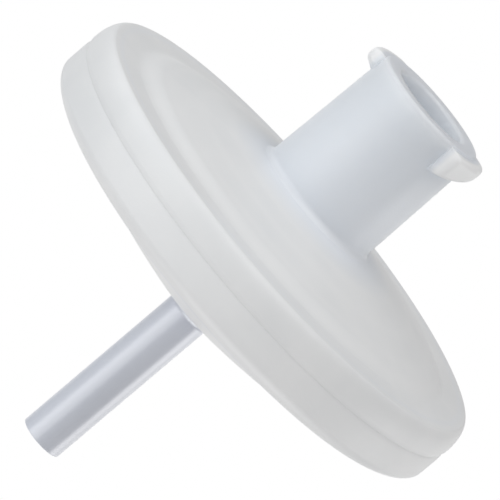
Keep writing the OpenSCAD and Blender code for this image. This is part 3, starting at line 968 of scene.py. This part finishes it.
class FILTER_OT_outlet_half(bpy.types.Operator):
    """Outlet half: shoulder, cone, slim tube and the ringed support for the membrane"""

    bl_idname = "syringe_filter.outlet_half"
    bl_label = "Outlet half"

    def execute(self, context):
        scene = context.scene
        at = Levels(scene)
        r, finish = scene.filter_ribs, scene.filter_plastic
        count, last_r = rings_within(r.support_r, r.support_pitch, at.seal_r - r.support_pitch / 2)
        # It has no lugs, so their tone starts beyond the filter's edge
        material = plastic_material(
            "natural polypropylene outlet", finish, at, finish.outlet_tube, finish.outlet_gloss,
            finish.outlet_sheen, finish.scatter, finish.scatter_share,
            (r.support_r, r.support_pitch, last_r),
            Tube_Radius=at.outlet_r * OUTLET_TONES[0], Disc_Radius=at.outlet_r * OUTLET_TONES[1],
            Lug_Radius=at.body_r * 2, Lug_Depth=at.band_z, Bore_Radius=at.bore_r,
        )
        ribs = ring_ribs(
            "support_rings", scene, at, material, First_Radius=r.support_r, Pitch=r.support_pitch,
            Count=count, Lower_Width=r.support_w, Upper_Width=r.support_w + r.support_draft,
            Lower_Height=at.seat_z, Lower_Slope=0.0, Upper_Height=at.floor(0.0) + WELD_IN,
            Upper_Slope=at.floor_slope, Slots=r.support_slots,
        )
        moulding("outlet_half", scene, outlet_outline(scene, at), ribs, None, material, material, 0.0,
                 "outlet_housing")
        return {"FINISHED"}


class FILTER_OT_membrane(bpy.types.Operator):
    """Filter membrane: microporous finish on the clamped disc"""

    bl_idname = "syringe_filter.membrane"
    bl_label = "Membrane"

    def execute(self, context):
        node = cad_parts["membrane"]
        node.data.materials.clear()
        node.data.materials.append(membrane_material(context.scene.filter_membrane))
        return {"FINISHED"}


class FILTER_OT_stage(bpy.types.Operator):
    """Stage: pale floor, white backdrop, soft light and the camera"""

    bl_idname = "syringe_filter.stage"
    bl_label = "Stage"

    def execute(self, context):
        scene = context.scene
        settings = scene.filter_stage
        self.floor(settings)
        self.backdrop(scene, settings)
        self.lights()
        self.camera(scene, settings)
        scene.view_settings.view_transform = "Standard"
        return {"FINISHED"}

    def floor(self, settings):
        """A pale floor that is seen from above alone."""
        mesh = bpy.data.meshes.new("floor")
        corners = [(-1, -1), (1, -1), (1, 1), (-1, 1)]
        mesh.from_pydata([(x * FLOOR_REACH, y * FLOOR_REACH, 0.0) for x, y in corners], [],
                         [(0, 1, 2, 3)])
        floor = linked("floor", mesh)
        floor.location.z = -FLOOR_DROP
        floor.visible_shadow = False
        floor.visible_diffuse = False
        floor.visible_glossy = False
        floor.visible_transmission = False
        look = Finish("pale floor")
        look.shade(Base_Color=settings.floor_tone, Roughness=0.9, Specular_IOR_Level=0.1)
        side = look.add("ShaderNodeNewGeometry").outputs["Backfacing"]
        clear = look.add("ShaderNodeBsdfTransparent").outputs[0]
        look.end_between(side, look.shader.outputs[0], clear, "Material Output")
        mesh.materials.append(look.material)

    def backdrop(self, scene, settings):
        """White behind the filter, with an even surround for light."""
        world = bpy.data.worlds.new("studio")
        world.use_nodes = True
        scene.world = world
        sky = Nodes(world.node_tree)
        behind = sky.tree.nodes["Background"]
        around = sky.add("ShaderNodeBackground")
        for background, strength in [(behind, settings.backdrop), (around, settings.surround)]:
            background.inputs["Strength"].default_value = strength
            background.inputs["Color"].default_value = (*WHITE, 1.0)
        seen = sky.add("ShaderNodeLightPath").outputs["Is Camera Ray"]
        sky.end_between(seen, around.outputs[0], behind.outputs[0], "World Output")

    def lights(self):
        """Broad soft suns all round, each with a direction towards it, a strength and a spread."""
        for name, toward, strength, spread, tint in [
            ("right", (0.691, -0.664, -0.285), 0.64, 55, COOL),
            ("rim", (-0.847, 0.489, 0.208), 0.42, 30, WHITE),
            ("strip", (0.489, -0.847, 0.208), 0.09, 30, WHITE),
            ("low", (-0.246, -0.330, -0.911), 1.18, 55, WHITE),
            ("overhead", (-0.265, 0.009, 0.964), 1.02, 55, WHITE),
            ("rim back", (-0.489, 0.847, 0.208), 0.19, 30, WHITE),
            ("front", (0.278, -0.899, 0.337), 0.65, 55, WHITE),
            ("back", (0.544, 0.766, 0.342), 0.31, 55, WHITE),
            ("far back", (0.000, 0.978, 0.208), 0.14, 30, WHITE),
            ("far low", (0.876, -0.016, -0.481), 0.25, 55, WHITE),
        ]:
            data = bpy.data.lights.new(name, "SUN")
            data.energy = strength
            data.angle = math.radians(spread)
            data.color = tint
            lamp = linked(name, data)
            lamp.rotation_euler = Vector(toward).to_track_quat("Z", "Y").to_euler()

    def camera(self, scene, settings):
        """The camera stands low, turned and rolled, and looks slightly up at the inlet face."""
        drop, turn, roll = settings.camera_drop, settings.camera_turn, settings.camera_roll
        back = Vector((
            math.cos(drop) * math.sin(turn), -math.cos(drop) * math.cos(turn), -math.sin(drop),
        ))
        down = Vector((0, 0, -1))
        first = (down - down.dot(back) * back).normalized()
        second = first.cross(back)
        right = math.cos(roll) * first + math.sin(roll) * second
        up = math.sin(roll) * first - math.cos(roll) * second
        data = bpy.data.cameras.new("camera")
        data.lens = settings.lens
        data.sensor_width = SENSOR_WIDTH
        data.clip_start, data.clip_end = CLIP
        camera = linked("camera", data)
        spot = (
            Vector((0, 0, settings.aim_z)) - settings.aim_right * right + settings.aim_down * up
            + settings.camera_distance * back
        )
        turned = Matrix((right, up, back)).transposed().to_4x4()
        camera.matrix_world = Matrix.Translation(spot) @ turned
        scene.camera = camera


class FILTER_PT_sidebar(bpy.types.Panel):
    """Sidebar panel that lists the pieces"""

    bl_idname = "FILTER_PT_sidebar"
    bl_label = "Syringe Filter"
    bl_space_type = "VIEW_3D"
    bl_region_type = "UI"
    bl_category = "Syringe Filter"

    def draw(self, context):
        for operator in OPERATORS:
            self.layout.operator(operator.bl_idname)


OPERATORS = [FILTER_OT_inlet_half, FILTER_OT_outlet_half, FILTER_OT_membrane, FILTER_OT_stage]
SETTINGS = {
    "filter_inlet": InletSizes,
    "filter_housing": HousingSizes,
    "filter_seat": SeatSizes,
    "filter_ribs": RibSizes,
    "filter_outlet": OutletSizes,
    "filter_plastic": PlasticFinish,
    "filter_membrane": MembraneFinish,
    "filter_stage": StageSettings,
}


def register():
    for group in SETTINGS.values():
        bpy.utils.register_class(group)
    for operator in OPERATORS:
        bpy.utils.register_class(operator)
    bpy.utils.register_class(FILTER_PT_sidebar)
    for name, group in SETTINGS.items():
        setattr(bpy.types.Scene, name, PointerProperty(type=group))


def unregister():
    for name in SETTINGS:
        delattr(bpy.types.Scene, name)
    bpy.utils.unregister_class(FILTER_PT_sidebar)
    for operator in reversed(OPERATORS):
        bpy.utils.unregister_class(operator)
    for group in reversed(SETTINGS.values()):
        bpy.utils.unregister_class(group)


def main():
    register()
    bpy.ops.syringe_filter.inlet_half()
    bpy.ops.syringe_filter.outlet_half()
    bpy.ops.syringe_filter.membrane()
    bpy.ops.syringe_filter.stage()


if __name__ == "__main__":
    main()
